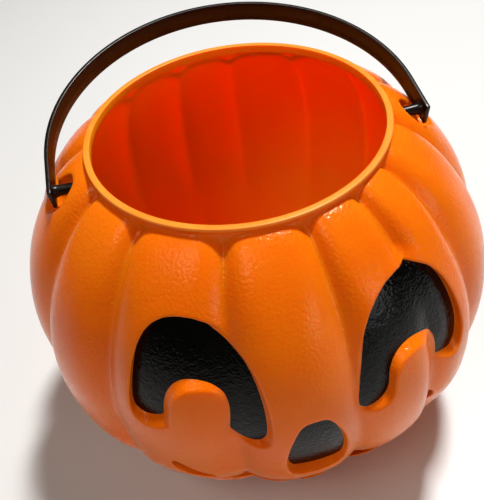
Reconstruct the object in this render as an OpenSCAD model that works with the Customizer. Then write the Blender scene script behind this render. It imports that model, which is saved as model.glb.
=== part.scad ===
// Pumpkin candy pail: a thin blow-moulded pail with lobes and a sunken, painted face,
// and a moulded carrying strap that snaps into two dimples in the shoulder.
// Millimetres. The origin is the centre of the base, +Z is up and the face looks to -Y.

/* [Body] */
// Width across the crests of the lobes
body_w = 231; // [205:1:260]
// Height from the table to the lip
body_h = 182; // [165:1:200]
// Height of the widest ring above the table
widest_h = 90; // [80:1:98]
// Width of the flat base
base_w = 118; // [96:1:130]
// Thickness of the moulded wall
wall_t = 1.5; // [1.2:0.1:2]
// How far the creases lie below the crests of the lobes
crease_depth = 6.5; // [3:0.5:8]

/* [Mouth ring] */
// Inner width of the open mouth
mouth_w = 128; // [112:1:134]
// Height of the plain neck between the lobes and the lip
neck_h = 3.5; // [2.5:0.5:6]
// Thickness of the neck's wall
neck_t = 2.2; // [1.8:0.1:2.8]
// Width by which the trimmed lip overhangs the neck
lip_overhang = 0.6; // [0.3:0.1:1.2]
// Height of the trimmed lip
lip_h = 1.6; // [1:0.1:2.4]

/* [Base] */
// Width of the ring that the pail stands on
foot_w = 17; // [12:1:22]
// Height of the pushed-up middle of the base
push_up_h = 3; // [1:0.5:5]

/* [Face] */
// Depth of the sunken features below the skin
feature_depth = 4.5; // [3:0.5:7]
// Thickness of the black paint on their floors
paint_t = 0.3; // [0.2:0.1:0.5]
// Width of one eye
eye_w = 53.4; // [40:0.2:58]
// Height of one eye, without its rise
eye_h = 54.9; // [40:0.1:58]
// Distance of the left eye's inner edge from the middle of the face
left_eye_inset = 16.6; // [14:0.2:22]
// Distance of the right eye's inner edge from the middle of the face
right_eye_inset = 18.2; // [14:0.2:22]
// Height of the eyes' lowest point above the table
eye_base_h = 103.1; // [100:0.1:110]
// How much the left eye rises towards its outer end
left_eye_rise = 5; // [-6:0.5:6]
// How much the right eye rises towards its outer end
right_eye_rise = 0; // [-6:0.5:6]
// Width of the tongue of skin that stands up inside an eye
tongue_w = 22; // [16:0.5:28]
// Height of that tongue above the eye's lowest point
tongue_h = 30; // [18:0.2:34]
// Distance of the tongue's middle from the eye's inner edge
tongue_inset = 27.4; // [24:0.1:30]
// Width of the nose
nose_w = 27; // [18:0.5:32]
// Height of the nose
nose_h = 37.5; // [22:0.5:40]
// Height of the nose's lowest point above the table
nose_base_h = 79.5; // [76:0.5:84]
// Width of the grin from corner to corner
grin_w = 122; // [100:1:128]
// Height of the grin
grin_h = 50; // [36:1:54]
// Height of the grin's lowest point above the table
grin_base_h = 36; // [32:1:44]
// How much lower the grin's corner on the handle's +X side is than the other one
grin_tilt = 8; // [0:0.5:12]
// How far the jaw round the grin is set back from the round of the body
jaw_set_back = 3.5; // [0:0.5:6]

/* [Handle] */
// Width of the strap
strap_w = 10; // [8:0.5:12]
// Thickness of the strap at its edges
strap_t = 1.8; // [1.4:0.1:2.4]
// Height of the ridge along the strap's inner face
strap_ridge = 0.6; // [0.2:0.1:1]
// Gap between the strap and a dimple's upright wall
strap_gap = 8.8; // [8:0.1:10]
// Straight run between the pegs and the bend
strap_leg = 15; // [10:0.5:30]
// How far the strap runs past the pegs
strap_heel = 5; // [4:0.5:7]
// How far the strap leans back from upright as it is set down
strap_lean = 80; // [70:1:85]
// Diameter of the pegs
peg_d = 4.4; // [3.6:0.1:5]
// Diameter of the snap-in heads on the pegs
peg_head_d = 5.3; // [5:0.1:5.4]
// Length of the snap-in heads
peg_head_l = 3; // [2:0.1:3.6]

/* [Handle dimples] */
// Distance from the mouth's edge out to a dimple's upright wall
dimple_back = 9.6; // [9:0.1:10]
// How far the pegs' axis lies ahead of the mouth's centre
hinge_ahead = 6; // [3:0.5:9]
// How far the strap's lower edge dips below the shoulder at the pegs
strap_dip = 2; // [1:0.1:2.4]
// Clearance under the strap in the groove behind each dimple
groove_gap = 0.6; // [0.4:0.1:1.2]
// Clearance in a dimple round the strap's end
heel_gap = 1.4; // [1:0.1:2.5]
// Clearance round a peg in its hole
peg_clearance = 0.08; // [0.05:0.01:0.09]
// Play of the handle from side to side, on each side
side_play = 0.4; // [0.3:0.1:0.8]

/* [Hidden] */
$fn = 72;

// What the sizes above give
body_r = body_w / 2;
mouth_r = mouth_w / 2;
neck_r = mouth_r + neck_t;
base_r = base_w / 2;
push_up_r = base_r - foot_w;
shoulder_h = body_h - neck_h;
overrun = 1;

// Directions of the creases, in degrees from +X; the lobes between them differ in width
crease_angles = [-162, -136.5, -106.5, -79.5, -58.5, -41, -14, 15, 37, 58, 82, 101, 121, 144, 168];
lobe_steps = 6;
cavity_lobe_steps = 4;
row_steps = 11;
cavity_row_steps = 8;

// How the skin swells from its ends to its widest ring: powers of the height share and of the rest
shoulder_power = 2.1;
shoulder_round = 1.4;
belly_power = 2.1;
belly_round = 1.6;
// How the creases fade towards the base, how sharp they are and how much of them the sunken floors keep
crease_foot_share = 0.35;
crease_power = 2.2;
floor_crease_share = 0.3;
// Turns from straight ahead between which the jaw's set-back fades out, and its heights as shares of widest_h
jaw_turns = [28, 46];
jaw_foot_share = 0.25;
jaw_height_shares = [0.64, 0.89];

// Radius of the lobes' crests at a height
function crest_r(h) =
    h >= widest_h
    ? neck_r + (body_r - neck_r)
        * pow(1 - pow(min(1, (h - widest_h) / (shoulder_h - widest_h)), shoulder_power), 1 / shoulder_round)
    : base_r + (body_r - base_r)
        * pow(1 - pow(min(1, (widest_h - h) / widest_h), belly_power), 1 / belly_round);

// Height on the shoulder at which the lobes' crests have a radius
function shoulder_at(r) =
    widest_h + (shoulder_h - widest_h)
        * pow(1 - pow((r - neck_r) / (body_r - neck_r), shoulder_round), 1 / shoulder_power);

// Depth of the creases at a height
function crease_at(h) =
    crease_depth * (crease_foot_share + (1 - crease_foot_share) * min(1, h / widest_h));

// Smooth step from 0 to 1
function ease(t) =
    let (c = min(1, max(0, t))) c * c * (3 - 2 * c);

// How far the jaw is set back at an angle and a height
function jaw_at(angle, h) =
    let (turn = abs((angle + 630) % 360 - 180), share = h / widest_h)
    jaw_set_back
        * (1 - ease((turn - jaw_turns[0]) / (jaw_turns[1] - jaw_turns[0])))
        * ease(share / jaw_foot_share)
        * (1 - ease((share - jaw_height_shares[0]) / (jaw_height_shares[1] - jaw_height_shares[0])));

// Where the dimples and the strap lie
dimple_x = mouth_r + dimple_back;
dimple_r = norm([strap_heel, strap_w / 2]) + heel_gap;
strap_r = dimple_x + strap_gap + strap_ridge + strap_t / 2;
hinge_h = shoulder_at(strap_r) + strap_w / 2 - strap_dip;

// Heights of the rows, from the base to the shoulder, closer together at both ends
function row_heights(steps) = [
    for (i = [0 : 2 * steps])
        let (a = 90 * (i - steps) / steps)
        a < 0 ? widest_h * (1 + sin(a)) : widest_h + (shoulder_h - widest_h) * sin(a)
];

// Point of the crest's outline, [radius, height], at one row, moved inwards by inset
function crest_point(rows, i, inset) =
    let (
        below = rows[max(i - 1, 0)],
        above = rows[min(i + 1, len(rows) - 1)],
        dr = crest_r(above) - crest_r(below),
        dh = above - below,
        l = norm([dr, dh])
    )
    [crest_r(rows[i]) - inset * dh / l, rows[i] + inset * dr / l];

// Lobe places round the pail: [angle, share of the way from the lobe's middle to a crease]
function lobe_places(steps) = [
    for (k = [0 : len(crease_angles) - 1])
        let (
            from = crease_angles[k],
            to = k + 1 < len(crease_angles) ? crease_angles[k + 1] : crease_angles[0] + 360
        )
        for (j = [0 : steps - 1])
            [from + (to - from) * j / steps, abs(2 * j / steps - 1)]
];

// The closed lobed body, inside the skin by inset, with a share of the creases' depth
module lobed_form(inset, share, lobe_n, row_n) {
    rows = row_heights(row_n);
    places = lobe_places(lobe_n);
    n = len(places);
    m = len(rows);
    points = [
        for (i = [0 : m - 1])
            let (p = crest_point(rows, i, inset), sink = share * crease_at(rows[i]))
            for (q = places)
                let (r = p[0] - sink * pow(q[1], crease_power) - jaw_at(q[0], rows[i]))
                [r * cos(q[0]), r * sin(q[0]), max(p[1], inset)]
    ];
    sides = [
        for (i = [0 : m - 2])
            for (j = [0 : n - 1])
                let (a = i * n + j, b = i * n + (j + 1) % n)
                [[a, a + n, b + n], [a, b + n, b]]
    ];
    bottom = [for (j = [0 : n - 1]) j];
    top = [for (j = [n - 1 : -1 : 0]) (m - 1) * n + j];
    polyhedron(concat(points), concat([bottom], [top], [for (s = sides) for (f = s) f]), convexity = 8);
}

// Smooth closed curve through chosen points, with some steps between each two
function smooth_loop(points, steps) =
    let (n = len(points))
    [
        for (i = [0 : n - 1])
            let (a = points[(i + n - 1) % n], b = points[i], c = points[(i + 1) % n], d = points[(i + 2) % n])
            for (s = [0 : steps - 1])
                let (t = s / steps)
                (2 * b + (c - a) * t + (2 * a - 5 * b + 4 * c - d) * t * t
                    + (3 * b - a - 3 * c + d) * t * t * t) / 2
    ];

// Height of an outline
function rise(points) =
    max([for (p = points) p[1]]) - min([for (p = points) p[1]]);

// Outline stretched to fill a width and a height, with its lowest and leftmost points at zero
function filled(points, w, h) =
    let (
        xs = [for (p = points) p[0]],
        ys = [for (p = points) p[1]]
    )
    [
        for (p = points)
            [w * (p[0] - min(xs)) / (max(xs) - min(xs)), h * (p[1] - min(ys)) / (max(ys) - min(ys))]
    ];

// Each eye from the tongue's outer root round its arch to the inner root, as shares of width and height
left_arch_shares = [
    [0.736, 0.167], [0.823, 0.115], [0.919, 0.082], [0.999, 0.126], [1, 0.223], [0.978, 0.32],
    [0.951, 0.414], [0.919, 0.508], [0.884, 0.601], [0.842, 0.69], [0.791, 0.775], [0.732, 0.856],
    [0.66, 0.924], [0.572, 0.975], [0.474, 1], [0.373, 0.997], [0.278, 0.962], [0.198, 0.902],
    [0.127, 0.831], [0.07, 0.75], [0.037, 0.657], [0.017, 0.561], [0.005, 0.463], [0, 0.365],
    [0.001, 0.266], [0.005, 0.168], [0.024, 0.071], [0.09, 0], [0.19, 0], [0.274, 0.054],
    [0.335, 0.133]
];
right_arch_shares = [
    [0.723, 0.071], [0.816, 0.031], [0.911, 0], [0.982, 0.063], [1, 0.162], [0.997, 0.264],
    [0.98, 0.364], [0.953, 0.462], [0.919, 0.558], [0.881, 0.652], [0.835, 0.743], [0.775, 0.824],
    [0.702, 0.894], [0.612, 0.939], [0.515, 0.965], [0.421, 1], [0.322, 0.998], [0.234, 0.949],
    [0.168, 0.872], [0.122, 0.782], [0.088, 0.687], [0.062, 0.588], [0.041, 0.489], [0.025, 0.388],
    [0.013, 0.287], [0, 0.186], [0.003, 0.086], [0.076, 0.026], [0.173, 0.051], [0.254, 0.11],
    [0.303, 0.199]
];

// Each tongue from its inner root over its tip to its outer root, as shares of its width and height
left_tongue_shares = [
    [-0.493, 0.392], [-0.529, 0.544], [-0.546, 0.698], [-0.511, 0.849], [-0.36, 0.953], [-0.155, 0.984],
    [0.051, 0.959], [0.222, 0.869], [0.348, 0.745], [0.434, 0.605], [0.489, 0.455]
];
right_tongue_shares = [
    [-0.497, 0.52], [-0.476, 0.651], [-0.404, 0.771], [-0.258, 0.846], [-0.079, 0.859], [0.093, 0.82],
    [0.246, 0.751], [0.39, 0.67], [0.475, 0.555], [0.515, 0.426], [0.528, 0.294]
];

// The right half of the nose, as shares of its half width and height, from the bottom up
nose_half_shares = [
    [0.45, 0], [0.82, 0.025], [0.97, 0.13], [1, 0.27], [0.97, 0.41], [0.87, 0.58], [0.71, 0.74],
    [0.52, 0.88], [0.28, 0.97]
];

// The right half of the grin, as shares of its half width and height: lower edge, corner, upper edge
grin_half_shares = [
    [0.09, 0.226], [0.107, 0], [0.23, 0.029], [0.36, 0.095], [0.492, 0.195], [0.607, 0.33], [0.721, 0.48],
    [0.836, 0.64], [0.926, 0.745], [0.984, 0.82], [1, 0.89], [0.989, 0.957], [0.962, 1], [0.93, 0.955],
    [0.836, 0.862], [0.726, 0.765], [0.713, 0.54], [0.541, 0.43], [0.516, 0.62], [0.393, 0.545],
    [0.262, 0.5], [0.131, 0.475]
];

// A half outline and its mirror image, joined into one loop
function both_halves(half) =
    concat(half, [for (i = [len(half) - 1 : -1 : 0]) [-half[i][0], half[i][1]]]);

// Outline of an eye as if on the +X side, seen from the front, rising towards its outer end
function eye_points(arch_shares, tongue_shares, inset, outer_rise) =
    let (
        arch = filled(arch_shares, eye_w, eye_h),
        tongue = [for (p = tongue_shares) [tongue_inset + tongue_w * p[0], tongue_h * p[1]]]
    )
    [
        for (p = concat(arch, tongue))
            [inset + p[0], eye_base_h + p[1] + outer_rise * p[0] / eye_w]
    ];

right_eye_points = eye_points(right_arch_shares, right_tongue_shares, right_eye_inset, right_eye_rise);
left_eye_points = [
    for (p = eye_points(left_arch_shares, left_tongue_shares, left_eye_inset, left_eye_rise)) [-p[0], p[1]]
];
nose_points = [
    for (p = filled(smooth_loop(both_halves(nose_half_shares), 2), nose_w, nose_h))
        [p[0] - nose_w / 2, nose_base_h + p[1]]
];
grin_points = [
    for (p = filled(both_halves(grin_half_shares), grin_w, grin_h))
        [p[0] - grin_w / 2, grin_base_h + p[1] - grin_tilt * (p[0] / grin_w - 0.5)]
];

// A sunken feature's outline, pushed through the front of the body and widened by grow
module front_prism(points, grow) {
    rotate([90, 0, 0])
        linear_extrude(body_r + overrun)
            offset(delta = grow) polygon(points);
}

// The eye, nose and grin outlines, each a prism of its own
module face_prisms(grow) {
    front_prism(left_eye_points, grow);
    front_prism(right_eye_points, grow);
    front_prism(nose_points, grow);
    front_prism(grin_points, grow);
}

// The dimples that take the strap's ends and the grooves that it lies in behind them, widened by grow
module dimples(grow) {
    groove_x = strap_r - strap_t / 2 - strap_ridge - groove_gap;
    groove_w = strap_w + 2 * groove_gap;
    for (side = [0, 1])
        mirror([side, 0, 0])
            translate([0, -hinge_ahead, hinge_h]) {
                translate([dimple_x - grow, 0, 0])
                    rotate([0, 90, 0]) cylinder(r = dimple_r + grow, h = body_r - dimple_x, $fn = 36);
                rotate([-strap_lean, 0, 0])
                    translate([groove_x - grow, -groove_w / 2 - grow, 0])
                        cube([body_r - groove_x, groove_w + 2 * grow, 2 * strap_w + grow]);
            }
}

// The mould's shape, inside the skin by inset, with a neck of radius r up to a height
module moulded_form(inset, r, top_h, lobe_n, row_n) {
    difference() {
        union() {
            lobed_form(inset, 1, lobe_n, row_n);
            translate([0, 0, widest_h]) cylinder(r = r, h = top_h - widest_h);
        }
        difference() {
            face_prisms(inset);
            lobed_form(feature_depth + inset, floor_crease_share, lobe_n, row_n);
        }
        dimples(inset);
    }
}

module pail_shell() {
    color("darkorange")
        difference() {
            resize([0, 0, body_h])
                difference() {
                    union() {
                        moulded_form(0, neck_r, body_h, lobe_steps, row_steps);
                        translate([0, 0, body_h - lip_h]) cylinder(r = neck_r + lip_overhang, h = lip_h);
                    }
                    difference() {
                        moulded_form(wall_t, mouth_r, body_h + overrun, cavity_lobe_steps, cavity_row_steps);
                        cylinder(r = push_up_r + wall_t, h = push_up_h + wall_t);
                    }
                    translate([0, 0, -overrun]) cylinder(r = push_up_r, h = push_up_h + overrun);
                }
            for (side = [0, 1])
                mirror([side, 0, 0])
                    translate([dimple_x - wall_t - overrun, -hinge_ahead, hinge_h])
                        rotate([0, 90, 0])
                            cylinder(d = peg_d + 2 * peg_clearance, h = wall_t + 2 * overrun);
        }
}

// Paint on the floor of the feature with this outline
module floor_paint(points) {
    color("black")
        resize([0, 0, rise(points)])
            intersection() {
                front_prism(points, 0);
                difference() {
                    lobed_form(feature_depth - paint_t, floor_crease_share, lobe_steps, row_steps);
                    lobed_form(feature_depth, floor_crease_share, lobe_steps, row_steps);
                }
            }
}

module right_eye_paint() {
    floor_paint(right_eye_points);
}

module left_eye_paint() {
    floor_paint(left_eye_points);
}

module nose_paint() {
    floor_paint(nose_points);
}

module grin_paint() {
    floor_paint(grin_points);
}

// Section of the strap, with its outer face to +X and its middle at the origin
module strap_section() {
    half_w = strap_w / 2;
    half_t = strap_t / 2;
    edge = strap_t / 4;
    polygon([
        [half_t, half_w - edge], [half_t - edge, half_w], [edge - half_t, half_w], [-half_t, half_w - edge],
        [-half_t - strap_ridge, 0],
        [-half_t, edge - half_w], [edge - half_t, -half_w], [half_t - edge, -half_w], [half_t, edge - half_w]
    ]);
}

// One end of the strap, on the +X side: leg, heel and the peg with its head
module strap_end() {
    head_from = dimple_x - wall_t - side_play;
    translate([strap_r, 0, -strap_heel]) linear_extrude(strap_heel + strap_leg) strap_section();
    translate([head_from, 0, 0])
        rotate([0, 90, 0]) cylinder(d = peg_d, h = strap_r - head_from);
    translate([head_from - peg_head_l, 0, 0])
        rotate([0, 90, 0]) cylinder(d1 = peg_d, d2 = peg_head_d, h = peg_head_l);
}

module carry_handle() {
    color("dimgray")
        translate([0, -hinge_ahead, hinge_h])
            rotate([-strap_lean, 0, 0]) {
                for (side = [0, 1])
                    mirror([side, 0, 0]) strap_end();
                translate([0, 0, strap_leg])
                    rotate([90, 0, 0]) rotate_extrude(angle = 180) translate([strap_r, 0]) strap_section();
            }
}

pail_shell();
carry_handle();
left_eye_paint();
right_eye_paint();
nose_paint();
grin_paint();
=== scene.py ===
import math

import bmesh
import bpy
import numpy as np
from mathutils import Matrix, Vector
from mathutils.geometry import delaunay_2d_cdt


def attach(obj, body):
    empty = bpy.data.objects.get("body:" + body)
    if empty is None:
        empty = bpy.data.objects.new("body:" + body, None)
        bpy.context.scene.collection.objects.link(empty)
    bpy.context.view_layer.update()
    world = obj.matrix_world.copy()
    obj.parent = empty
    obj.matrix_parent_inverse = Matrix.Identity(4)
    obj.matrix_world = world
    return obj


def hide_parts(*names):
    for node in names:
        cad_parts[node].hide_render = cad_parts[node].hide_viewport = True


# Pumpkin candy pail: a lobed blow-moulded shell, a painted sunken face and a strap handle.
# Sizes in the dictionaries are millimetres and degrees, meshes are metres.
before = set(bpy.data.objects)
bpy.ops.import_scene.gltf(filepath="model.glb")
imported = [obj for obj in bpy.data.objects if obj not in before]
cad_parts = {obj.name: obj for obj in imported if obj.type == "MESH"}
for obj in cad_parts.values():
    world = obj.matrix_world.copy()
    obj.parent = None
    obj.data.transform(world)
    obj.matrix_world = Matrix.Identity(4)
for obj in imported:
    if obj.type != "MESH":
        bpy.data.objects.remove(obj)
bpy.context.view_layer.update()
mm = 0.001


# Shared helpers
def smoothMax(a, b, k):
    h = np.clip(0.5 + 0.5 * (a - b) / k, 0, 1)
    return b + (a - b) * h + k * h * (1 - h)


def smoothStep(low, high, value):
    t = np.clip((value - low) / (high - low), 0, 1)
    return t * t * (3 - 2 * t)


def finishPiece(bm, name, body, materials, nodes):
    mesh = bpy.data.meshes.new(name)
    bm.to_mesh(mesh)
    bm.free()
    for material in materials:
        mesh.materials.append(material)
    mesh.shade_smooth()
    piece = bpy.data.objects.new(name, mesh)
    bpy.context.scene.collection.objects.link(piece)
    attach(piece, body)
    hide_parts(*nodes)
    print("made", name, "with", sum(len(p.vertices) - 2 for p in mesh.polygons), "triangles")
    return piece


# The pail's form: the crest and lobes of the CAD source, with creases that narrow towards the neck
pail = {
    "crestRadius": 115.5, "widestHeight": 90, "baseRadius": 59, "shoulderHeight": 178.5, "height": 182,
    "mouthRadius": 64, "neckRadius": 66.2, "lipRadius": 66.8, "lipHeight": 1.6, "wall": 1.5,
    "shoulderPower": 2.1, "shoulderRound": 1.4, "bellyPower": 2.1, "bellyRound": 1.6,
    "jawSetBack": 3.5, "jawTurns": (28, 46), "jawFoot": 0.25, "jawHeights": (0.64, 0.89),
    "creases": [-162, -136.5, -106.5, -79.5, -58.5, -41, -14, 15, 37, 58, 82, 101, 121, 144, 168],
    "creaseDepth": 6.9, "creaseFootShare": 0.35, "creaseSoftness": 0.06,
    "creasePower": 2.9, "neckCreasePower": 5, "neckHeights": (150, 177),
    "shallowCrease": -58.5, "shallowReach": 12, "shallowBy": 0.7, "shallowFrom": (126, 144),
    "shallowTo": (155, 163), "floorCreaseShare": 0.3, "featureDepth": 4.5, "paintThickness": 0.3,
    "pushUpRadius": 42, "pushUpHeight": 3, "ringRadius": 43.2, "frontAngles": (-172.0, -8.0), "halvings": 26,
}
hinge = {"y": -6, "z": 170.74, "lean": 80}  # the strap's axis, and how far it lies back from upright


def crestRadius(h):
    s = np.clip((h - pail["widestHeight"]) / (pail["shoulderHeight"] - pail["widestHeight"]), 0, 1)
    upper = pail["neckRadius"] + (pail["crestRadius"] - pail["neckRadius"]) * (
        1 - s ** pail["shoulderPower"]) ** (1 / pail["shoulderRound"])
    s = np.clip((pail["widestHeight"] - h) / pail["widestHeight"], 0, 1)
    lower = pail["baseRadius"] + (pail["crestRadius"] - pail["baseRadius"]) * (
        1 - s ** pail["bellyPower"]) ** (1 / pail["bellyRound"])
    return np.where(h >= pail["widestHeight"], upper, lower)


def creaseSink(h):
    return pail["creaseDepth"] * (pail["creaseFootShare"]
                                  + (1 - pail["creaseFootShare"]) * np.clip(h / pail["widestHeight"], 0, 1))


def lobeSink(angle, softness, h):
    # Share of a crease's depth at an angle in degrees: 0 on a crest, nearly 1 in a crease
    edges = np.array(pail["creases"] + [pail["creases"][0] + 360.0])
    a = (angle - edges[0]) % 360 + edges[0]
    k = np.clip(np.searchsorted(edges, a, side="right") - 1, 0, len(edges) - 2)
    w = (a - edges[k]) / (edges[k + 1] - edges[k])
    fromCrease = 1 - np.abs(2 * w - 1)
    narrower = (pail["neckCreasePower"] - pail["creasePower"]) * smoothStep(*pail["neckHeights"], h)
    sink = np.clip(1 - np.sqrt(fromCrease ** 2 + softness ** 2), 0, 1) ** (pail["creasePower"] + narrower)
    # One crease nearly fades out where it crosses the top of the right eye
    near = np.abs(angle - pail["shallowCrease"]) < pail["shallowReach"]
    faded = pail["shallowBy"] * near * smoothStep(*pail["shallowFrom"], h)
    return (1 - faded * (1 - smoothStep(*pail["shallowTo"], h))) * sink


def jawSink(angle, h):
    # How far the jaw round the grin is set back from the round of the body
    fromFront = np.abs((angle + 270) % 360 - 180)
    share = h / pail["widestHeight"]
    foot = smoothStep(0, pail["jawFoot"], share)
    top = 1 - smoothStep(*pail["jawHeights"], share)
    return pail["jawSetBack"] * (1 - smoothStep(*pail["jawTurns"], fromFront)) * foot * top


def crestLine(inset, count=1400):
    # The crest's line moved inwards: its points' heights on the crest, radii and heights, and the way out
    a = np.radians(np.linspace(-90, 90, count))
    w = pail["widestHeight"]
    h = np.where(a < 0, w * (1 + np.sin(a)), w + (pail["shoulderHeight"] - w) * np.sin(a))
    r = crestRadius(h)
    dr, dh = np.gradient(r), np.gradient(h)
    length = np.hypot(dr, dh)
    outR, outZ = dh / length, -dr / length
    return h, r - inset * outR, h - inset * outZ, outR, outZ


def sinkWay(h):
    # Creases sink square to the shoulder above the widest point and straight inwards below it
    rows, lineR, lineZ, outR, outZ = crestLine(0)
    above = h > pail["widestHeight"]
    return np.where(above, np.interp(h, rows, outR), 1), np.where(above, np.interp(h, rows, outZ), 0)


def lobedRadius(angle, z, line, share):
    # Radius of a lobed surface at an angle and a height; line is a crestLine
    rows, lineR, lineZ, outR, outZ = line
    h = np.interp(z, lineZ, rows)
    for _ in range(3):
        lobe = share * lobeSink(angle, pail["creaseSoftness"], h)
        depth = creaseSink(h) * lobe
        up = np.where(h > pail["widestHeight"], np.interp(h, rows, outZ), 0)
        h = np.interp(z + depth * up, lineZ, rows)
    across = np.where(h > pail["widestHeight"], np.interp(h, rows, outR), 1)
    return np.interp(h, rows, lineR) - creaseSink(h) * lobe * across - jawSink(angle, h)


def frontDepth(x, z, inset, share):
    # Y of the front of a lobed surface at points (x, z), found by halving the range of angles
    line = crestLine(inset)
    low, high = (np.full(len(x), end) for end in pail["frontAngles"])
    for _ in range(pail["halvings"]):
        middle = (low + high) / 2
        r = lobedRadius(middle, z, line, share)
        left = r * np.cos(np.radians(middle)) < x
        low, high = np.where(left, middle, low), np.where(left, high, middle)
    return r * np.sin(np.radians(middle))


def onSkin(points):
    # Places on the skin's front for points (x, z)
    return np.column_stack([points[:, 0], frontDepth(points[:, 0], points[:, 1], 0, 1), points[:, 1]])


def onFloor(points, inset):
    # Places on a surface inside the skin whose creases are shallower, as those of the sunken floors are
    y = frontDepth(points[:, 0], points[:, 1], inset, pail["floorCreaseShare"])
    return np.column_stack([points[:, 0], y, points[:, 1]])


# Outlines of the sunken features, in shares of their widths and heights
eye = {
    # The arches were fitted on this surface, and all other outlines are those of the CAD source
    "width": 53.4, "height": 54.9, "base": 103.1, "tongueWidth": 22, "tongueHeight": 30, "tongueInset": 27.4,
    "left": {
        "inset": 16.6, "rise": 5,
        "arch": [
            (0.73, 0.165), (0.816, 0.115), (0.911, 0.084), (0.99, 0.131), (0.99, 0.228), (0.969, 0.323),
            (0.941, 0.418), (0.91, 0.511), (0.875, 0.603), (0.833, 0.692), (0.783, 0.777), (0.725, 0.857),
            (0.652, 0.925), (0.565, 0.975), (0.469, 1.002), (0.369, 1.002), (0.276, 0.965), (0.202, 0.899),
            (0.132, 0.829), (0.07, 0.752), (0.037, 0.659), (0.016, 0.563), (0.005, 0.466), (-0.001, 0.368),
            (0, 0.27), (0.005, 0.172), (0.023, 0.076), (0.088, 0.005), (0.187, 0.003), (0.272, 0.055),
            (0.331, 0.134)],
        "tongue": [
            (-0.493, 0.392), (-0.529, 0.544), (-0.546, 0.698), (-0.511, 0.849), (-0.36, 0.953),
            (-0.155, 0.984), (0.051, 0.959), (0.222, 0.869), (0.348, 0.745), (0.434, 0.605), (0.489, 0.455)],
    },
    "right": {
        "inset": 18.2, "rise": 0,
        "arch": [
            (0.728, 0.091), (0.823, 0.055), (0.918, 0.023), (0.991, 0.083), (1.008, 0.18), (1.005, 0.279),
            (0.987, 0.376), (0.959, 0.471), (0.925, 0.564), (0.886, 0.656), (0.839, 0.744), (0.78, 0.823),
            (0.71, 0.895), (0.624, 0.948), (0.527, 0.978), (0.429, 1.004), (0.33, 0.992), (0.241, 0.945),
            (0.171, 0.873), (0.124, 0.786), (0.089, 0.693), (0.063, 0.597), (0.044, 0.5), (0.028, 0.403),
            (0.015, 0.304), (0.002, 0.206), (0.003, 0.108), (0.074, 0.048), (0.171, 0.072), (0.255, 0.128),
            (0.305, 0.214)],
        "tongue": [
            (-0.497, 0.52), (-0.476, 0.651), (-0.404, 0.771), (-0.258, 0.846), (-0.079, 0.859), (0.093, 0.82),
            (0.246, 0.751), (0.39, 0.67), (0.475, 0.555), (0.515, 0.426), (0.528, 0.294)],
    },
}
nose = {
    "width": 27, "height": 37.5, "base": 79.5, "tilt": 0,
    "half": [(0.45, 0), (0.82, 0.025), (0.97, 0.13), (1, 0.27), (0.97, 0.41), (0.87, 0.58), (0.71, 0.74),
             (0.52, 0.88), (0.28, 0.97)],
}
grin = {
    "width": 122, "height": 50, "base": 36, "tilt": 8,
    "half": [
        (0.09, 0.226), (0.107, 0), (0.23, 0.029), (0.36, 0.095), (0.492, 0.195), (0.607, 0.33), (0.721, 0.48),
        (0.836, 0.64), (0.926, 0.745), (0.984, 0.82), (1, 0.89), (0.989, 0.957), (0.962, 1), (0.93, 0.955),
        (0.836, 0.862), (0.726, 0.765), (0.713, 0.54), (0.541, 0.43), (0.516, 0.62), (0.393, 0.545),
        (0.262, 0.5), (0.131, 0.475)],
}


def filled(points, width, height):
    # The points stretched to fill a width and a height
    p = np.array(points, float)
    span = p.max(0) - p.min(0)
    return (p - p.min(0)) / span * [width, height]


def smoothLoop(points, steps):
    # A closed curve through the points, with steps to each stretch
    b = np.array(points, float)
    a, c, d = np.roll(b, 1, 0), np.roll(b, -1, 0), np.roll(b, -2, 0)
    parts = []
    for s in range(steps):
        t = s / steps
        parts.append((2 * b + (c - a) * t + (2 * a - 5 * b + 4 * c - d) * t ** 2
                      + (3 * b - a - 3 * c + d) * t ** 3) / 2)
    return np.stack(parts, 1).reshape(-1, 2)


def eyeOutline(side):
    # An eye's arch and its tongue as one loop; side is 1 for the right eye and -1 for the left
    own = eye["right" if side > 0 else "left"]
    arch = np.array(own["arch"]) * [eye["width"], eye["height"]]
    tongue = np.array(own["tongue"]) * [eye["tongueWidth"], eye["tongueHeight"]] + [eye["tongueInset"], 0]
    x, z = np.vstack([arch, tongue]).T
    return np.column_stack([side * (own["inset"] + x), eye["base"] + z + own["rise"] * x / eye["width"]])


def mirroredOutline(shape, steps):
    half = shape["half"]
    loop = half + [(-x, z) for x, z in reversed(half)]
    if steps:
        loop = smoothLoop(loop, steps)
    p = filled(loop, shape["width"], shape["height"]) + [-shape["width"] / 2, shape["base"]]
    p[:, 1] -= shape["tilt"] * p[:, 0] / shape["width"]
    return p


def evenLoop(points, spacing, rounds):
    # The closed outline at even steps, its corners eased a little, turning left as seen from the front
    p = np.asarray(points, float)
    area = np.sum(p[:, 0] * np.roll(p[:, 1], -1) - np.roll(p[:, 0], -1) * p[:, 1])
    if area < 0:
        p = p[::-1]
    for turn in range(2):
        closed = np.vstack([p, p[:1]])
        run = np.concatenate([[0], np.cumsum(np.hypot(*np.diff(closed, axis=0).T))])
        count = int(round(run[-1] / spacing))
        at = np.linspace(0, run[-1], count, endpoint=False)
        p = np.column_stack([np.interp(at, run, closed[:, i]) for i in (0, 1)])
        if turn == 0:
            for _ in range(rounds):
                p = 0.5 * p + 0.25 * (np.roll(p, 1, 0) + np.roll(p, -1, 0))
    return p


def outwardNormals(p):
    along = np.roll(p, -1, 0) - np.roll(p, 1, 0)
    n = np.column_stack([along[:, 1], -along[:, 0]])
    return n / np.linalg.norm(n, axis=1)[:, None]


def offsetLoop(p, by, rounds=3):
    n = outwardNormals(p)
    for _ in range(rounds):
        n = 0.5 * n + 0.25 * (np.roll(n, 1, 0) + np.roll(n, -1, 0))
    return p + by * n / np.linalg.norm(n, axis=1)[:, None]


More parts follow.
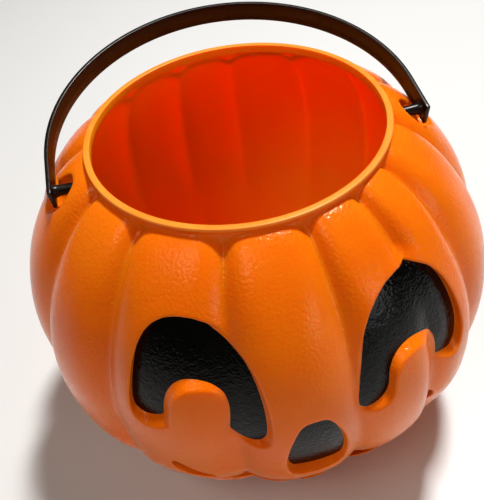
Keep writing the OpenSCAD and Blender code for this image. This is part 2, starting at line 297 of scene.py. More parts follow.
def signedDistance(points, loop):
    # Positive outside a closed loop
    a, b = loop, np.roll(loop, -1, 0)
    best = np.full(len(points), 1e9)
    inside = np.zeros(len(points), bool)
    for p0, p1 in zip(a, b):
        e, q = p1 - p0, points - p0
        t = np.clip((q @ e) / max(e @ e, 1e-12), 0, 1)
        best = np.minimum(best, np.hypot(*(q - t[:, None] * e).T))
        crosses = (p0[1] > points[:, 1]) != (p1[1] > points[:, 1])
        if p0[1] != p1[1]:
            inside ^= crosses & (points[:, 0] < p0[0] + (points[:, 1] - p0[1]) / (p1[1] - p0[1]) * e[0])
    return np.where(inside, -best, best)


features = {
    "left_eye": {"outline": eyeOutline(-1), "spacing": 0.8, "rounds": 4, "draft": 1.5, "edge": 1.1},
    "right_eye": {"outline": eyeOutline(1), "spacing": 0.8, "rounds": 4, "draft": 1.5, "edge": 1.1},
    "nose": {"outline": mirroredOutline(nose, 2), "spacing": 0.8, "rounds": 3, "draft": 1.3, "edge": 1.0},
    "grin": {"outline": mirroredOutline(grin, 0), "spacing": 0.9, "rounds": 5, "draft": 0.4, "edge": 0.9},
}
floorSteps = 8  # the walls slope in to a smaller floor in small even steps, so that no corner folds over
for feature in features.values():
    feature["loop"] = evenLoop(feature["outline"], feature["spacing"], feature["rounds"])
    floor = feature["loop"]
    for _ in range(floorSteps):
        floor = offsetLoop(floor, -feature["draft"] / floorSteps, 4)
        floor = 0.9 * floor + 0.05 * (np.roll(floor, 1, 0) + np.roll(floor, -1, 0))
    feature["floor"] = floor


# Materials; a bump is its scale, its height in metres and its strength, and glow is light spread inside
finishes = {
    "orangeSkin": {
        "colours": [(0.92, 0.16, 0.002), (0.96, 0.19, 0.003)], "mottle": 22, "rough": (0.15, 0.26),
        "grain": 500, "bumps": [(800, 0.00036, 0.7)], "specular": 0.22, "tint": (1, 0.85, 0.6),
        "glow": 0.6, "glowRadius": (1, 0.22, 0.05), "glowScale": 0.0045,
    },
    # The inside is the same plastic as the skin; its lighter, yellower colours are painted light, standing in
    # for light shining through the thin wall and between the inner walls
    "orangeInsidePaintedLight": {
        "colours": [(0.98, 0.3, 0.006), (0.985, 0.33, 0.008)], "mottle": 16, "rough": (0.42, 0.52),
        "grain": 300, "bumps": [(260, 0.0003, 0.2)], "specular": 0.16, "tint": (1, 0.8, 0.5),
        "glow": 1.0, "glowRadius": (1, 0.12, 0.02), "glowScale": 0.008,
    },
    # The lip is the same plastic as the skin; its lighter colours are a painted highlight for the light
    # falling on its flat top
    "orangeLipPaintedHighlight": {
        "colours": [(0.9, 0.25, 0.016), (0.93, 0.3, 0.028)], "mottle": 60, "rough": (0.3, 0.42),
        "grain": 800, "bumps": [(700, 0.00015, 0.5)], "specular": 0.4, "tint": (1, 0.9, 0.7),
        "glow": 0.3, "glowRadius": (1, 0.4, 0.1), "glowScale": 0.002,
    },
    "blackPaint": {
        "colours": [(0.001, 0.001, 0.0009), (0.0018, 0.0018, 0.0016)], "mottle": 60, "rough": (0.1, 0.2),
        "grain": 900, "bumps": [(900, 0.0003, 0.7), (380, 0.0004, 0.5)], "specular": 0.16,
        "tint": (1, 1, 1), "glow": 0,
    },
    "blackStrap": {
        "colours": [(0.004, 0.0022, 0.0015), (0.008, 0.004, 0.0022)], "mottle": 40, "rough": (0.26, 0.36),
        "grain": 400, "bumps": [(600, 0.00006, 0.3), (90, 0.0003, 0.15)], "specular": 0.25,
        "tint": (1, 1, 1), "glow": 0,
    },
}


def newMaterial(name):
    material = bpy.data.materials.new(name)
    material.use_nodes = True
    nodes = material.node_tree.nodes
    nodes.clear()
    return material, nodes, material.node_tree.links


def addNode(nodes, kind, **values):
    n = nodes.new(kind)
    for key, value in values.items():
        if key in n.inputs:
            n.inputs[key].default_value = value
        else:
            setattr(n, key, value)
    return n


def plastic(name, finish):
    # A soft mottle of two colours, roughness that varies in a fine grain, and bumps on top of one another
    material, nodes, links = newMaterial(name)
    out = addNode(nodes, "ShaderNodeOutputMaterial")
    shader = addNode(nodes, "ShaderNodeBsdfPrincipled")
    shader.inputs["Specular IOR Level"].default_value = finish["specular"]
    shader.inputs["Specular Tint"].default_value = (*finish["tint"], 1)
    if finish["glow"]:
        shader.inputs["Subsurface Weight"].default_value = finish["glow"]
        shader.inputs["Subsurface Radius"].default_value = finish["glowRadius"]
        shader.inputs["Subsurface Scale"].default_value = finish["glowScale"]
    place = addNode(nodes, "ShaderNodeTexCoord")
    cloud = addNode(nodes, "ShaderNodeTexNoise", Scale=finish["mottle"], Detail=4.0, Roughness=0.6)
    links.new(place.outputs["Object"], cloud.inputs["Vector"])
    ramp = addNode(nodes, "ShaderNodeValToRGB")
    for stop, position, colour in zip(ramp.color_ramp.elements, (0.35, 0.65), finish["colours"]):
        stop.position = position
        stop.color = (*colour, 1)
    links.new(cloud.outputs["Fac"], ramp.inputs["Fac"])
    links.new(ramp.outputs["Color"], shader.inputs["Base Color"])
    grain = addNode(nodes, "ShaderNodeTexNoise", Scale=finish["grain"], Detail=2.0)
    links.new(place.outputs["Object"], grain.inputs["Vector"])
    spread = addNode(nodes, "ShaderNodeMapRange")
    for end, value in zip(("From Min", "From Max", "To Min", "To Max"), (0.3, 0.7, *finish["rough"])):
        spread.inputs[end].default_value = value
    links.new(grain.outputs["Fac"], spread.inputs["Value"])
    links.new(spread.outputs["Result"], shader.inputs["Roughness"])
    last = None
    for scale, height, strength in finish["bumps"]:
        texture = addNode(nodes, "ShaderNodeTexNoise", Scale=scale, Detail=1.5, Roughness=0.5)
        links.new(place.outputs["Object"], texture.inputs["Vector"])
        bump = addNode(nodes, "ShaderNodeBump", Strength=strength, Distance=height)
        links.new(texture.outputs["Fac"], bump.inputs["Height"])
        if last:
            links.new(last.outputs["Normal"], bump.inputs["Normal"])
        last = bump
    links.new(last.outputs["Normal"], shader.inputs["Normal"])
    links.new(shader.outputs["BSDF"], out.inputs["Surface"])
    return material


plastics = {name: plastic(name, finish) for name, finish in finishes.items()}
print("materials made")

# The shell
shell = {
    "columns": 380, "skinStep": 1.9, "shoulderStep": 1.1, "shoulderRun": 26, "insideRows": 62,
    "footRows": (48, 53), "middleRow": 20, "insideSoftness": 0.12,
    "neckBlend": 1.6, "neckHeights": (150, 172), "backLevel": 0.85, "backSines": (-0.2, 0.35),
    "nearMargin": 2.3, "holeMargin": 0.66, "edgeSteps": 5, "edgeDrop": 0.9, "leastDepth": 1.5,
    "mostDrop": 0.6, "footReach": 0.3, "floorSpacing": 2.4, "floorInset": 0.9, "bulgeBox": 6,
    "bulgeEdge": (1.4, 4.4),
}


def levelRows(kind, places):
    # Rows of the profile that follow no height on the crest
    return [(r, z, kind, 0) for r, z in places]


def runAlong(r, z):
    return np.concatenate([[0], np.cumsum(np.hypot(np.diff(r), np.diff(z)))])


def shellProfile():
    # Rows from under the middle of the base, over the lip, to the middle of the floor inside. A row is a
    # radius, a height, a kind and the height on the crest that its lobes follow
    bend, rise, wall = pail["pushUpRadius"], pail["pushUpHeight"], pail["wall"]
    rows = levelRows("base", [
        (0, rise), (shell["middleRow"], rise), (bend - 1.4, rise), (bend - 0.3, rise - 0.4), (bend, 1.6),
        (bend + 0.3, 0.4), (pail["ringRadius"], 0)])
    rows += levelRows("foot", [(r, 0) for r in shell["footRows"]])
    h, r, z, outR, outZ = crestLine(0)
    run = runAlong(r, z)
    split = run[-1] - shell["shoulderRun"]
    low = np.linspace(0, split, int(split / shell["skinStep"]), endpoint=False)
    high = np.linspace(split, run[-1], int(shell["shoulderRun"] / shell["shoulderStep"]))
    skinRows = np.interp(np.concatenate([low, high]), run, h)
    rows += [(float(crestRadius(v)), float(v), "skin", float(v)) for v in skinRows]
    shoulder, top, mouth = pail["shoulderHeight"], pail["height"], pail["mouthRadius"]
    lip, neck, under = pail["lipRadius"], pail["neckRadius"], pail["height"] - pail["lipHeight"]
    rows += levelRows("ring", [
        (neck, shoulder + 0.6), (neck, shoulder + 1.3), (neck + 0.05, under - 0.12), (neck + 0.2, under),
        (lip - 0.15, under + 0.08), (lip, under + 0.3), (lip, top - 0.45), (lip - 0.1, top - 0.18),
        (lip - 0.32, top - 0.03), (lip - 0.6, top), ((lip + mouth) / 2, top), (mouth + 0.5, top),
        (mouth + 0.2, top - 0.06), (mouth + 0.05, top - 0.2), (mouth, top - 0.5), (mouth, top - 1.6),
        (mouth, top - 2.8), (mouth, top - 3.9)])
    h, r, z, outR, outZ = crestLine(wall)
    run = runAlong(r, z)
    at = np.linspace(run[-1], 0, shell["insideRows"])
    for v, radius, height in zip(np.interp(at, run, h), np.interp(at, run, r), np.interp(at, run, z)):
        rows.append((float(radius), max(float(height), wall), "inside", float(v)))
    rows += levelRows("floor", [(r, wall) for r in reversed(shell["footRows"])])
    rows += levelRows("base", [
        (bend + 2.6, wall), (bend + 1.7, wall + 0.4), (bend + 1.3, rise), (bend + 0.6, rise + wall - 0.3),
        (bend - 1, rise + wall), (shell["middleRow"], rise + wall), (0, rise + wall)])
    return rows


def placeLobes(bm, rows):
    # Moves the spun rows out into lobes and creases; each keeps its row number in a layer
    rowOf = bm.verts.layers.int["row"]
    verts = list(bm.verts)
    row = np.array([v[rowOf] for v in verts])
    co = np.array([v.co[:] for v in verts]) / mm
    angle = np.degrees(np.arctan2(co[:, 1], co[:, 0]))
    r, z = np.hypot(co[:, 0], co[:, 1]), co[:, 2].copy()
    kind = np.array([k for _, _, k, _ in rows])[row]
    h = np.array([v for _, _, _, v in rows])[row]
    across, up = sinkWay(h)
    # The creases behind stay level at the neck
    upShare = 1 - shell["backLevel"] * smoothStep(*shell["backSines"], np.sin(np.radians(angle)))
    neckShare = smoothStep(*shell["neckHeights"], h)
    for name, softness, neck in (("skin", pail["creaseSoftness"], pail["neckRadius"]),
                                 ("inside", shell["insideSoftness"], pail["mouthRadius"])):
        depth = creaseSink(h) * lobeSink(angle, softness, h)
        lobed = r - depth * across - jawSink(angle, h)
        lobed = lobed * (1 - neckShare) + neckShare * smoothMax(lobed, neck + 0 * r, shell["neckBlend"])
        r = np.where(kind == name, lobed, r)
        z = np.where(kind == name, z - depth * up * upShare, z)
    # The standing ring's rows spread out to the lobed edge of the base
    standing = (kind == "foot") | (kind == "floor")
    start, edge = pail["ringRadius"], pail["baseRadius"]
    lobedEdge = edge - creaseSink(0 * h) * lobeSink(angle, pail["creaseSoftness"], 0 * h)
    r = np.where(standing, start + (r - start) * (lobedEdge - start) / (edge - start), r)
    co = np.column_stack([r * np.cos(np.radians(angle)), r * np.sin(np.radians(angle)), z]) * mm
    for v, p in zip(verts, co):
        v.co = p


def fillFlat(bm, loops, points, keep):
    # Fills the plane between loops of vertices, with extra points, as seen from the front. keep says which
    # triangles stay, from their middles
    verts, edges = [], []
    for loop in loops:
        start = len(verts)
        verts += loop
        edges += [(start + i, start + (i + 1) % len(loop)) for i in range(len(loop))]
    verts += points
    flat = [Vector((v.co.x, v.co.z)) / mm for v in verts]
    made = delaunay_2d_cdt(flat, edges, [], 0, 1e-7)
    source = [o[0] for o in made[3]]
    triangles = [[source[i] for i in t] for t in made[2]]
    middles = np.array([[sum(flat[i][k] for i in t) / 3 for k in (0, 1)] for t in triangles])
    for t, stays in zip(triangles, keep(middles)):
        if stays and len(set(t)) == 3:
            bm.faces.new([verts[i] for i in t])


def growRing(bm, ring, places):
    # Extrudes a closed ring of vertices once and sets the new ring's places
    edges = [bm.edges.get((a, b)) for a, b in zip(ring, ring[1:] + ring[:1])]
    made = bmesh.ops.extrude_edge_only(bm, edges=edges)["geom"]
    fresh = {g for g in made if isinstance(g, bmesh.types.BMVert)}
    grown = [next(e.other_vert(v) for e in v.link_edges if e.other_vert(v) in fresh) for v in ring]
    for v, p in zip(grown, places):
        v.co = Vector(p) * mm
    return grown


def boundaryLoops(edges):
    # Orders boundary edges into closed loops of vertices
    left, loops = set(edges), []
    while left:
        e = left.pop()
        loop = [e.verts[0], e.verts[1]]
        while True:
            nextEdge = next((x for x in loop[-1].link_edges if x in left), None)
            if nextEdge is None:
                break
            left.discard(nextEdge)
            loop.append(nextEdge.other_vert(loop[-1]))
        if loop[0] is loop[-1]:
            loop.pop()
        loops.append(loop)
    return loops


def floorPoints(loop, spacing, inset):
    # Even points inside a loop
    low, high = loop.min(0), loop.max(0)
    x, z = np.meshgrid(np.arange(low[0], high[0], spacing), np.arange(low[1], high[1], spacing))
    x[1::2] += spacing / 2
    p = np.column_stack([x.ravel(), z.ravel()])
    return p[signedDistance(p, loop) < -inset]


def openSkin(bm, feature, outer, skinFaces):
    # Deletes the skin's faces over a feature and returns the loop of vertices round the hole
    faces = [f for f in skinFaces if f.is_valid and f.calc_center_median().y < 0]
    middles = np.array([f.calc_center_median()[:] for f in faces]) / mm
    near = signedDistance(middles[:, [0, 2]], feature["loop"]) < feature["edge"] + shell["nearMargin"]
    faces = [f for f, n in zip(faces, near) if n]
    corners = [[(v.co.x / mm, v.co.z / mm) for v in f.verts] for f in faces]
    flat = np.array([c for f in corners for c in f])
    close = signedDistance(flat, outer) < shell["holeMargin"]
    doomed, at = [], 0
    for f, c in zip(faces, corners):
        if close[at:at + len(c)].any():
            doomed.append(f)
        at += len(c)
    border = {e for f in doomed for e in f.edges}
    bmesh.ops.delete(bm, geom=doomed, context="FACES")
    holes = boundaryLoops([e for e in border if e.is_valid and e.is_boundary])
    return max(holes, key=len)


def sinkFeature(bm, feature, skinFaces):
    # Opens the skin over a feature and gives it a rounded edge, a sloping wall and a floor
    loop, base, reach = feature["loop"], feature["floor"], feature["edge"]
    outer = offsetLoop(loop, reach)
    hole = openSkin(bm, feature, outer, skinFaces)
    holeFlat = np.array([(v.co.x / mm, v.co.z / mm) for v in hole])
    ring = [bm.verts.new(Vector(p) * mm) for p in onSkin(outer)]
    fillFlat(bm, [hole, ring], [],
             lambda m: (signedDistance(m, holeFlat) < 0) & (signedDistance(m, outer) > 0))
    start = np.array([v.co[:] for v in ring]) / mm
    corner = onSkin(loop)
    foots = onFloor(base, pail["featureDepth"])
    depth = np.maximum(foots[:, 1] - corner[:, 1], shell["leastDepth"])
    drop = np.clip(reach * shell["edgeDrop"] / depth, 0, shell["mostDrop"])[:, None]
    wallTop = corner + (foots - corner) * drop
    for i in range(1, shell["edgeSteps"] + 1):
        t = i / shell["edgeSteps"]
        ring = growRing(bm, ring, (1 - t) ** 2 * start + 2 * t * (1 - t) * corner + t * t * wallTop)
    wallFoot = foots - [0, shell["footReach"], 0]
    ring = growRing(bm, ring, (wallTop + wallFoot) / 2)
    ring = growRing(bm, ring, wallFoot)
    inner = offsetLoop(base, -shell["footReach"], 1)
    ring = growRing(bm, ring, onFloor(inner, pail["featureDepth"]))
    spots = floorPoints(inner, shell["floorSpacing"], shell["floorInset"])
    extra = [bm.verts.new(Vector(p) * mm) for p in onFloor(spots, pail["featureDepth"])]
    fillFlat(bm, [ring], extra, lambda m: signedDistance(m, inner) < 0)


def bulgeInside(bm, insideVerts):
    # The wall bulges inwards behind the sunken features
    co = np.array([v.co[:] for v in insideVerts]) / mm
    for feature in features.values():
        loop = feature["loop"]
        low, high = loop.min(0) - shell["bulgeBox"], loop.max(0) + shell["bulgeBox"]
        near = np.flatnonzero((co[:, 1] < 0) & (co[:, 0] > low[0]) & (co[:, 0] < high[0])
                              & (co[:, 2] > low[1]) & (co[:, 2] < high[1]))
        flat = co[near][:, [0, 2]]
        deep = onFloor(flat, pail["featureDepth"] + pail["wall"])[:, 1]
        weight = 1 - smoothStep(*shell["bulgeEdge"], signedDistance(flat, loop))
        co[near, 1] += weight * np.maximum(deep - co[near, 1], 0)
    for v, p in zip(insideVerts, co):
        v.co = Vector(p) * mm


dimple = {
    "wallX": 73.6, "radius": 8.47, "taper": 3.4, "pocketBlend": 1.6, "holeRadius": 3.0, "holeDepth": 0.9,
    "grooveX": 81.8, "grooveHalf": 5.6, "grooveRun": 20, "grooveBlend": 1.0,
    # The stretch of wall that is cut finer, and the part of it that may move
    "cuts": 2, "fromX": 66, "middleY": -2, "halfY": 26, "fromZ": 150, "pressedX": 67, "pressedZ": 178.45,
    # Its vertices go inwards and down in small steps until they reach the dimple's surface
    "way": (-0.7, -0.714), "reached": 0.02, "step": 0.06, "steps": 340, "softness": 1.5, "skinSlope": 0.6,
}


def dimpleCut(p, grow):
    # Signed distance to the dimple, its groove and the recess round the peg's hole, positive in the wall
    ax = np.abs(p[:, 0])
    dy, dz = p[:, 1] - hinge["y"], p[:, 2] - hinge["z"]
    away = np.hypot(dy, dz)
    wallX, grooveX = dimple["wallX"], dimple["grooveX"]
    narrower = dimple["taper"] * np.clip((grooveX - ax) / (grooveX - wallX), 0, 1)
    pocket = smoothMax(wallX - grow - ax, away - dimple["radius"] + narrower - grow, dimple["pocketBlend"])
    lean = math.radians(hinge["lean"])
    across = dy * math.cos(lean) - dz * math.sin(lean)
    along = dy * math.sin(lean) + dz * math.cos(lean)
    blend = dimple["grooveBlend"]
    sides = smoothMax(grooveX - grow - ax, np.abs(across) - dimple["grooveHalf"] - grow, blend)
    groove = smoothMax(sides, np.maximum(-along, along - dimple["grooveRun"]), blend)
    cut = np.minimum(pocket, groove)
    if not grow:
        recess = np.maximum(wallX - dimple["holeDepth"] - ax, away - dimple["holeRadius"])
        cut = np.minimum(cut, recess)
    return cut


def pressDimples(verts, inset, neck):
    # New places for the vertices near the strap's ends, pushed inwards and down out of the dimples
    co = np.array([v.co[:] for v in verts]) / mm
    rows, lineR, lineZ, outR, outZ = crestLine(inset)

    def outside(p):
        # Signed distance to the pail's form with the dimples cut out of it
        r = np.hypot(p[:, 0], p[:, 1])
        angle = np.degrees(np.arctan2(p[:, 1], p[:, 0]))
        sunk = creaseSink(p[:, 2]) * lobeSink(angle, pail["creaseSoftness"], p[:, 2])
        radius = np.maximum(np.interp(p[:, 2], lineZ, lineR) - sunk, neck)
        return smoothMax((r - radius) * dimple["skinSlope"], -dimpleCut(p, inset), dimple["softness"])

    t = np.zeros(len(co))
    way = np.column_stack([dimple["way"][0] * np.sign(co[:, 0]), t, t + dimple["way"][1]])
    settled = outside(co) <= dimple["reached"]
    for _ in range(dimple["steps"]):
        t = np.where(settled, t, t + dimple["step"])
        settled |= outside(co + t[:, None] * way) <= dimple["reached"]
    return co + t[:, None] * way


def spinShell(rows):
    bm = bmesh.new()
    rowOf = bm.verts.layers.int.new("row")
    chain = []
    for k, row in enumerate(rows):
        v = bm.verts.new(Vector((row[0], 0, row[1])) * mm)
        v[rowOf] = k
        chain.append(v)
    for a, b in zip(chain, chain[1:]):
        bm.edges.new((a, b))
    bmesh.ops.spin(bm, geom=bm.verts[:] + bm.edges[:], cent=(0, 0, 0), axis=(0, 0, 1), angle=2 * math.pi,
                   steps=shell["columns"], use_merge=True)
    bmesh.ops.remove_doubles(bm, verts=bm.verts, dist=1e-6)
    bmesh.ops.recalc_face_normals(bm, faces=bm.faces)
    print("shell spun", len(bm.verts))
    return bm


def dimpleVerts(bm, kinds, kind):
    # The vertices round the strap's ends on the skin or inside; the skin is cut finer there first
    rowOf = bm.verts.layers.int["row"]
    region = []
    for f in bm.faces:
        c = f.calc_center_median() / mm
        aside = abs(c.x) > dimple["fromX"] and abs(c.y - dimple["middleY"]) < dimple["halfY"]
        if aside and c.z > dimple["fromZ"] and all(kinds[v[rowOf]] == kind for v in f.verts):
            region.append(f)
    verts = set()
    if kind == "skin":
        edges = list({e for f in region for e in f.edges})
        made = bmesh.ops.subdivide_edges(bm, edges=edges, cuts=dimple["cuts"], use_grid_fill=True)
        verts |= {v for g in made["geom"] if isinstance(g, bmesh.types.BMFace) for v in g.verts}
        verts |= {g for g in made["geom_inner"] if isinstance(g, bmesh.types.BMVert)}
    verts |= {v for f in region if f.is_valid for v in f.verts}
    return [v for v in verts if abs(v.co.x) > dimple["pressedX"] * mm and v.co.z < dimple["pressedZ"] * mm]


def makeShell():
    rows = shellProfile()
    bm = spinShell(rows)
    rowOf = bm.verts.layers.int["row"]
    placeLobes(bm, rows)
    kinds = [row[2] for row in rows]
    firstInside, firstRing = kinds.index("inside"), kinds.index("ring")
    bulgeInside(bm, [v for v in bm.verts if kinds[v[rowOf]] == "inside"])
    skinFaces = [f for f in bm.faces if all(kinds[v[rowOf]] == "skin" for v in f.verts)]
    for f in bm.faces:
        first, last = min(v[rowOf] for v in f.verts), max(v[rowOf] for v in f.verts)
        onLip = firstRing + 4 <= first and last <= firstInside - 5
        inner = first >= firstInside - 6
        f.material_index = 2 if onLip else (1 if inner else 0)  # places in the list of skins below: plain skin, inside with painted light, lip with painted highlight
    for name, feature in features.items():
        sinkFeature(bm, feature, skinFaces)
        print("sunk", name)
    for kind, inset, neck in (("skin", 0, pail["neckRadius"]), ("inside", pail["wall"], pail["mouthRadius"])):
        verts = dimpleVerts(bm, kinds, kind)
        for v, p in zip(verts, pressDimples(verts, inset, neck)):
            v.co = Vector(p) * mm
    print("shell open edges", sum(e.is_boundary for e in bm.edges))
    bmesh.ops.recalc_face_normals(bm, faces=bm.faces)
    skins = [plastics[name] for name in ("orangeSkin", "orangeInsidePaintedLight", "orangeLipPaintedHighlight")]
    finishPiece(bm, "pail_body", "pail", skins, ["pail_shell"])


makeShell()


# Paint on the sunken floors
paint = {"grow": 0.12, "spacing": 2.2, "inset": 0.9, "sunk": 0.25, "sharpAngle": 40}


def makePaint(name, feature):
    # A film over a floor that reaches a little into the walls and below the floor
    bm = bmesh.new()
    loop = offsetLoop(feature["floor"], paint["grow"], 1)
    flat = np.vstack([loop, floorPoints(loop, paint["spacing"], paint["inset"])])
    places = onFloor(flat, pail["featureDepth"] - pail["paintThickness"])
    verts = [bm.verts.new(Vector(p) * mm) for p in places]
    fillFlat(bm, [verts[:len(loop)]], verts[len(loop):], lambda m: signedDistance(m, loop) < 0)
    bmesh.ops.recalc_face_normals(bm, faces=bm.faces)
    front = list(bm.faces)
    if sum(f.normal.y for f in front) > 0:
        bmesh.ops.reverse_faces(bm, faces=front)
    made = bmesh.ops.extrude_face_region(bm, geom=front, use_keep_orig=True)["geom"]
    back = [g for g in made if isinstance(g, bmesh.types.BMVert)]
    bmesh.ops.translate(bm, verts=back, vec=(0, (pail["paintThickness"] + paint["sunk"]) * mm, 0))
    bmesh.ops.recalc_face_normals(bm, faces=bm.faces)
    painted = finishPiece(bm, name, "pail", [plastics["blackPaint"]], [name])
    painted.data.set_sharp_from_angle(angle=math.radians(paint["sharpAngle"]))


for name, feature in features.items():
    makePaint(name + "_paint", feature)

# The strap handle
strap = {
    "radius": 83.9, "width": 10, "thickness": 1.8, "ridge": 0.6, "leg": 15, "heel": 5, "archSteps": 120,
    "legSteps": 8, "edgeRound": 0.35, "capBevel": 0.3, "sharpAngle": 32, "pegRadius": 2.2, "pegRoot": 2.75,
    "headRadius": 2.62, "headLength": 3, "headFrom": 71.7, "tipRadius": 1.7, "pegSides": 40,
    "nubPlace": (0.4, -1.2), "nubRadii": (0.8, 0.45), "nubHeight": 0.7,
}


def strapSection():
    # Offsets outwards and across of the strap's section: flat outside, two facets that meet in a ridge inside
    w, t, e = strap["width"] / 2, strap["thickness"] / 2, strap["edgeRound"]
    half = [(t, w - e), (t - 0.3 * e, w - 0.3 * e), (t - e, w), (e - t, w), (0.3 * e - t, w - 0.3 * e),
            (-t, w - e)]
    half += [(-t - strap["ridge"] * (1 - s), s * (w - e)) for s in (0.5, 0.08)]
    return half + [(-t - strap["ridge"] * 0.97, 0)] + [(x, -y) for x, y in reversed(half)]


def growLeg(bm, edges, rise):
    # Extrudes an end of the strap in even steps and returns the edges of its new end
    for _ in range(strap["legSteps"]):
        made = bmesh.ops.extrude_edge_only(bm, edges=edges)["geom"]
        edges = [g for g in made if isinstance(g, bmesh.types.BMEdge) and g.is_boundary]
        ends = list({v for e in edges for v in e.verts})
        bmesh.ops.translate(bm, verts=ends, vec=(0, 0, rise / strap["legSteps"] * mm))
    return edges


def addPeg(bm, side):
    # A peg from inside the strap to the tip of its tapered snap-in head, spun round the hinge's axis
    head, root = strap["headFrom"], strap["radius"] - strap["thickness"] / 2 - 0.2
    tip, peg, foot = head - strap["headLength"], strap["pegRadius"], strap["pegRoot"]
    profile = [
        (tip, 0), (tip, strap["tipRadius"]), (tip + 0.3, strap["tipRadius"] + 0.35),
        (head - 0.3, strap["headRadius"]), (head, strap["headRadius"] - 0.2), (head, peg), (head + 2.6, peg),
        (root - 2.2, peg + 0.3), (root - 0.9, foot), (root - 0.2, foot + 0.5), (root + 0.5, foot + 0.9),
        (root + 0.6, 0)]
    chain = [bm.verts.new(Vector((side * x, 0, r)) * mm) for x, r in profile]
    links = [bm.edges.new((a, b)) for a, b in zip(chain, chain[1:])]
    bmesh.ops.spin(bm, geom=chain + links, cent=(0, 0, 0), axis=(1, 0, 0), angle=2 * math.pi,
                   steps=strap["pegSides"], use_merge=True)


def makeHandle():
    # Modelled upright with the hinge at the origin, then leant back and lifted into place
    bm = bmesh.new()
    heel, leg, radius = strap["heel"], strap["leg"], strap["radius"]
    ring = [bm.verts.new(Vector((radius + u, v, -heel)) * mm) for u, v in strapSection()]
    edges = [bm.edges.new((a, b)) for a, b in zip(ring, ring[1:] + ring[:1])]
    bm.faces.new(ring)
    edges = growLeg(bm, edges, heel + leg)
    made = bmesh.ops.spin(bm, geom=edges, cent=(0, 0, leg * mm), axis=(0, -1, 0), angle=math.pi,
                          steps=strap["archSteps"])["geom_last"]
    edges = growLeg(bm, [g for g in made if isinstance(g, bmesh.types.BMEdge)], -heel - leg)
    bmesh.ops.holes_fill(bm, edges=edges, sides=0)
    bmesh.ops.remove_doubles(bm, verts=bm.verts, dist=1e-6)
    caps = [f for f in bm.faces if len(f.verts) > 6]
    rims = list({e for f in caps for e in f.edges})
    bmesh.ops.bevel(bm, geom=rims, offset=strap["capBevel"] * mm, segments=2, profile=0.5, affect="EDGES",
                    material=-1)
    for side in (1, -1):
        addPeg(bm, side)
    bmesh.ops.remove_doubles(bm, verts=bm.verts, dist=1e-6)
    # The gate's small nub on the outer face of the right end
    nubPlace = Vector((radius + strap["thickness"] / 2, *strap["nubPlace"])) * mm
    bmesh.ops.create_cone(bm, cap_ends=True, segments=12, radius1=strap["nubRadii"][0] * mm,
                          radius2=strap["nubRadii"][1] * mm, depth=strap["nubHeight"] * mm,
                          matrix=Matrix.Translation(nubPlace) @ Matrix.Rotation(math.pi / 2, 4, "Y"))
    bmesh.ops.recalc_face_normals(bm, faces=bm.faces)
    lean = Matrix.Rotation(-math.radians(hinge["lean"]), 4, "X")
    place = Matrix.Translation(Vector((0, hinge["y"], hinge["z"])) * mm)
    bmesh.ops.transform(bm, matrix=place @ lean, verts=bm.verts)
    handle = finishPiece(bm, "strap_handle", "handle", [plastics["blackStrap"]],
                         ["carry_handle"])
    handle.data.set_sharp_from_angle(angle=math.radians(strap["sharpAngle"]))


makeHandle()

# The floor, the lights and the camera, in metres
studio = {
    "floorColour": (0.735, 0.755, 0.765), "floorSize": 12.0, "floorDrop": 0.0001, "floorRough": 0.5,
    "roomLight": 0.06, "roomColour": (1, 0.85, 0.74), "aim": (0, 0, 0.09),
    "lights": [
        {"name": "key", "azimuth": 45, "elevation": 68, "away": 1.6, "size": (0.19, 0.19), "power": 31.5,
         "colour": (1, 0.98, 0.95)},
        {"name": "left_ceiling", "azimuth": -140, "elevation": 62, "away": 1.3, "size": (0.5, 0.5),
         "power": 3.7, "colour": (1, 0.87, 0.76)},
        {"name": "window", "azimuth": -52, "elevation": 14, "away": 1.2, "size": (0.5, 0.35), "power": 1.8,
         "colour": (1, 0.98, 0.97)},
    ],
}


def makeFloor():
    bm = bmesh.new()
    bmesh.ops.create_grid(bm, x_segments=8, y_segments=8, size=studio["floorSize"] / 2)
    mesh = bpy.data.meshes.new("table_top")
    bm.to_mesh(mesh)
    bm.free()
    floor = bpy.data.objects.new("table_top", mesh)
    bpy.context.scene.collection.objects.link(floor)
    floor.location.z = -studio["floorDrop"]
    material, nodes, links = newMaterial("tableWhite")
    out = addNode(nodes, "ShaderNodeOutputMaterial")
    shader = addNode(nodes, "ShaderNodeBsdfPrincipled")
    shader.inputs["Base Color"].default_value = (*studio["floorColour"], 1)
    shader.inputs["Roughness"].default_value = studio["floorRough"]
    links.new(shader.outputs["BSDF"], out.inputs["Surface"])
    mesh.materials.append(material)


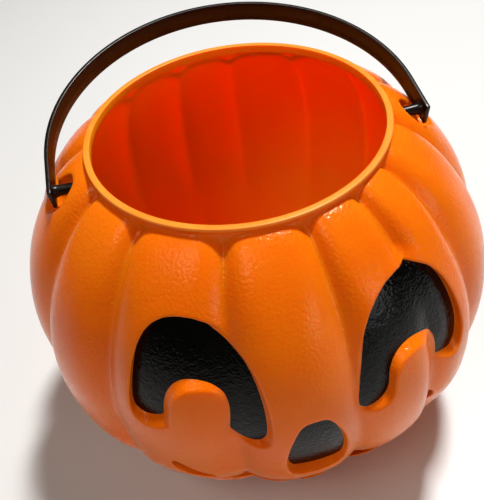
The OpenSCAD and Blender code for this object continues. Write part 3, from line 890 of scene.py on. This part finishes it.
def makeWorld():
    world = bpy.data.worlds.new("room")
    bpy.context.scene.world = world
    world.use_nodes = True
    nodes, links = world.node_tree.nodes, world.node_tree.links
    nodes.clear()
    out = nodes.new("ShaderNodeOutputWorld")
    room = addNode(nodes, "ShaderNodeBackground", Strength=studio["roomLight"])
    room.inputs["Color"].default_value = (*studio["roomColour"], 1)
    links.new(room.outputs["Background"], out.inputs["Surface"])


def makeLights():
    aim = Vector(studio["aim"])
    for lamp in studio["lights"]:
        data = bpy.data.lights.new(lamp["name"], "AREA")
        data.shape = "RECTANGLE"
        data.size, data.size_y = lamp["size"]
        data.energy = lamp["power"]
        data.color = lamp["colour"]
        light = bpy.data.objects.new(lamp["name"], data)
        bpy.context.scene.collection.objects.link(light)
        a, e = math.radians(lamp["azimuth"]), math.radians(lamp["elevation"])
        way = Vector((math.cos(a) * math.cos(e), math.sin(a) * math.cos(e), math.sin(e)))
        light.location = aim + lamp["away"] * way
        light.rotation_mode = "QUATERNION"
        light.rotation_quaternion = (aim - light.location).to_track_quat("-Z", "Y")


cameraView = {
    "place": (-0.027576, -0.217603, 0.331797), "azimuth": -5.6, "elevation": 46.5, "roll": -9.4, "lens": 43.2,
    "sensor": 36, "clip": (0.01, 20),
}


def makeCamera():
    a, e, roll = (math.radians(cameraView[k]) for k in ("azimuth", "elevation", "roll"))
    back = Vector((math.sin(a) * math.cos(e), -math.cos(a) * math.cos(e), math.sin(e)))
    right = Vector((math.cos(a), math.sin(a), 0))
    up = back.cross(right)
    x = math.cos(roll) * right + math.sin(roll) * up
    y = -math.sin(roll) * right + math.cos(roll) * up
    data = bpy.data.cameras.new("photo_view")
    data.lens, data.sensor_width, data.sensor_fit = cameraView["lens"], cameraView["sensor"], "AUTO"
    data.clip_start, data.clip_end = cameraView["clip"]
    camera = bpy.data.objects.new("photo_view", data)
    bpy.context.scene.collection.objects.link(camera)
    matrix = Matrix((x, y, back)).transposed().to_4x4()
    matrix.translation = Vector(cameraView["place"])
    camera.matrix_world = matrix
    bpy.context.scene.camera = camera


makeFloor()
makeWorld()
makeLights()
makeCamera()
bpy.context.scene.view_settings.view_transform = "Standard"
print("stage made")
